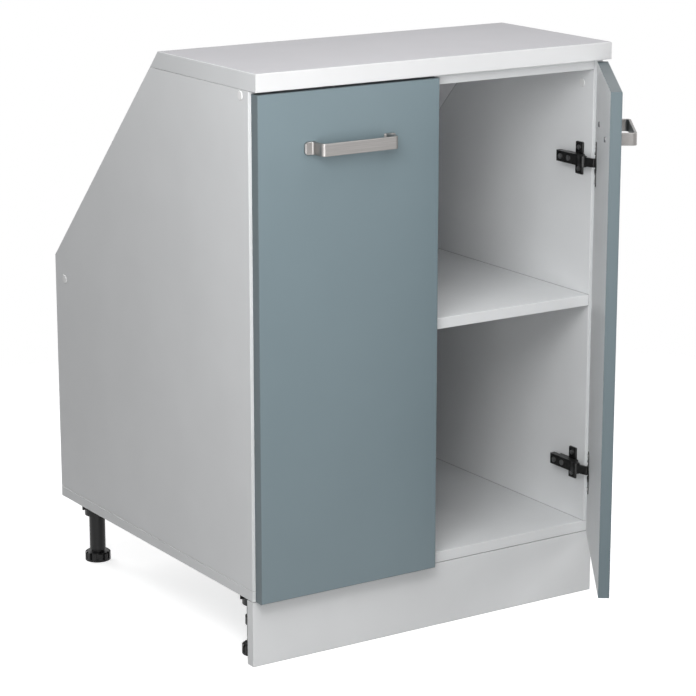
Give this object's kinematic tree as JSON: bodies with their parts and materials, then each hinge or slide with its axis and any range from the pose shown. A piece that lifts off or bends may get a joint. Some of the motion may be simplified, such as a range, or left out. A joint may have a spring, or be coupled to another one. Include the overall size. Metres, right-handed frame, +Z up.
{
  "type": "sloped ceiling kitchen cabinet",
  "caption": "Kitchen base cabinet cut back at the rear to fit under a sloped ceiling, with hinged doors, a shelf, a narrow worktop, a plinth and adjustable feet.",
  "frame": {"origin": "on the floor under the middle of the plinth board: half way across the cabinet and half way through the plinth board's thickness", "axes": "+X to the right as seen from the front, +Y towards the back wall, +Z up; the doors face -Y"},
  "size_m": [0.6024, 0.848, 0.842],
  "materials": {
    "white_board": "melamine faced chipboard, fine satin grain",
    "back_sheet": "white faced hardboard, satin",
    "edge_band": "thin plastic edge strip, semi gloss",
    "door_board": "grey blue faced board, smooth matt",
    "satin_nickel": "satin nickel plating",
    "hinge_steel": "black coated pressed steel",
    "dark_screws": "black coated screws",
    "zinc_steel": "bright zinc plating",
    "black_plastic": "moulded, matt",
    "white_plastic": "moulded, semi gloss",
    "beech": "fluted beech dowel, bare"
  },
  "bodies": {
    "cabinet": {"back_panel_lower": "back_sheet", "back_panel_nails": "zinc_steel", "back_panel_sloped": "back_sheet", "bottom_panel": "white_board", "carcass_screws": "zinc_steel", "dowels": "beech", "front_edge_bands": "edge_band", "hinge_arm_lower_left": "hinge_steel", "hinge_arm_lower_right": "hinge_steel", "hinge_arm_screws": "dark_screws", "hinge_arm_upper_left": "hinge_steel", "hinge_arm_upper_right": "hinge_steel", "hinge_link_pins": "hinge_steel", "hinge_plate_lower_left": "hinge_steel", "hinge_plate_lower_right": "hinge_steel", "hinge_plate_screws": "dark_screws", "hinge_plate_upper_left": "hinge_steel", "hinge_plate_upper_right": "hinge_steel", "inner_cover_caps": "white_plastic", "leg_front_left": "black_plastic", "leg_front_right": "black_plastic", "leg_rear_left": "black_plastic", "leg_rear_right": "black_plastic", "leg_screws": "zinc_steel", "middle_shelf": "white_board", "outer_cover_caps": "white_plastic", "plinth_clip_screws": "zinc_steel", "plinth_clips": "black_plastic", "plinth_panel": "white_board", "side_panel_left": "white_board", "side_panel_right": "white_board", "top_panel": "white_board", "worktop": "white_board", "worktop_screws": "zinc_steel"},
    "hinge_link_lower_left": {"hinge_link_lower_left": "hinge_steel"},
    "hinge_link_upper_left": {"hinge_link_upper_left": "hinge_steel"},
    "door_left": {"door_left": "door_board", "handle_left": "satin_nickel", "handle_screws_left": "zinc_steel", "hinge_cup_lower_left": "hinge_steel", "hinge_cup_pins_left": "hinge_steel", "hinge_cup_screws_left": "dark_screws", "hinge_cup_upper_left": "hinge_steel"},
    "hinge_link_lower_right": {"hinge_link_lower_right": "hinge_steel"},
    "hinge_link_upper_right": {"hinge_link_upper_right": "hinge_steel"},
    "door_right": {"door_right": "door_board", "handle_right": "satin_nickel", "handle_screws_right": "zinc_steel", "hinge_cup_lower_right": "hinge_steel", "hinge_cup_pins_right": "hinge_steel", "hinge_cup_screws_right": "dark_screws", "hinge_cup_upper_right": "hinge_steel"},
    "foot_front_left": {"foot_front_left": "black_plastic"},
    "foot_front_right": {"foot_front_right": "black_plastic"},
    "foot_rear_left": {"foot_rear_left": "black_plastic"},
    "foot_rear_right": {"foot_rear_right": "black_plastic"}
  },
  "joints": [
    {"name": "link_lower_left_hinge", "type": "hinge", "parent": "cabinet", "child": "hinge_link_lower_left", "pos_m": [-0.2686, -0.0085, 0.199], "axis": [0, 0, -1], "range_deg": [-71.73, 0]},
    {"name": "link_upper_left_hinge", "type": "hinge", "parent": "cabinet", "child": "hinge_link_upper_left", "pos_m": [-0.2686, -0.0085, 0.667], "axis": [0, 0, -1], "range_deg": [-71.73, 0]},
    {"name": "door_left_hinge", "type": "hinge", "parent": "hinge_link_lower_left", "child": "door_left", "pos_m": [-0.2875, -0.012, 0.199], "axis": [0, 0, -1], "range_deg": [0, 166.72]},
    {"name": "link_lower_right_hinge", "type": "hinge", "parent": "cabinet", "child": "hinge_link_lower_right", "pos_m": [0.2686, -0.0085, 0.199], "axis": [0, 0, 1], "range_deg": [-30.06, 41.69]},
    {"name": "link_upper_right_hinge", "type": "hinge", "parent": "cabinet", "child": "hinge_link_upper_right", "pos_m": [0.2686, -0.0085, 0.667], "axis": [0, 0, 1], "range_deg": [-30.06, 41.69]},
    {"name": "door_right_hinge", "type": "hinge", "parent": "hinge_link_lower_right", "child": "door_right", "pos_m": [0.28039, -0.02368, 0.199], "axis": [0, 0, 1], "range_deg": [-96.88, 69.85]},
    {"name": "foot_front_left_slide", "type": "slide", "parent": "cabinet", "child": "foot_front_left", "axis": [0, 0, -1], "range_m": [0, 0.02]},
    {"name": "foot_front_right_slide", "type": "slide", "parent": "cabinet", "child": "foot_front_right", "axis": [0, 0, -1], "range_m": [0, 0.02]},
    {"name": "foot_rear_left_slide", "type": "slide", "parent": "cabinet", "child": "foot_rear_left", "axis": [0, 0, -1], "range_m": [0, 0.02]},
    {"name": "foot_rear_right_slide", "type": "slide", "parent": "cabinet", "child": "foot_rear_right", "axis": [0, 0, -1], "range_m": [0, 0.02]}
  ],
  "couplings": [
    {"joint": "link_lower_left_hinge", "follows": "door_left_hinge", "ratio": -0.4302},
    {"joint": "link_upper_left_hinge", "follows": "door_left_hinge", "ratio": -0.4302},
    {"joint": "link_lower_right_hinge", "follows": "door_right_hinge", "ratio": -0.4302},
    {"joint": "link_upper_right_hinge", "follows": "door_right_hinge", "ratio": -0.4302}
  ]
}
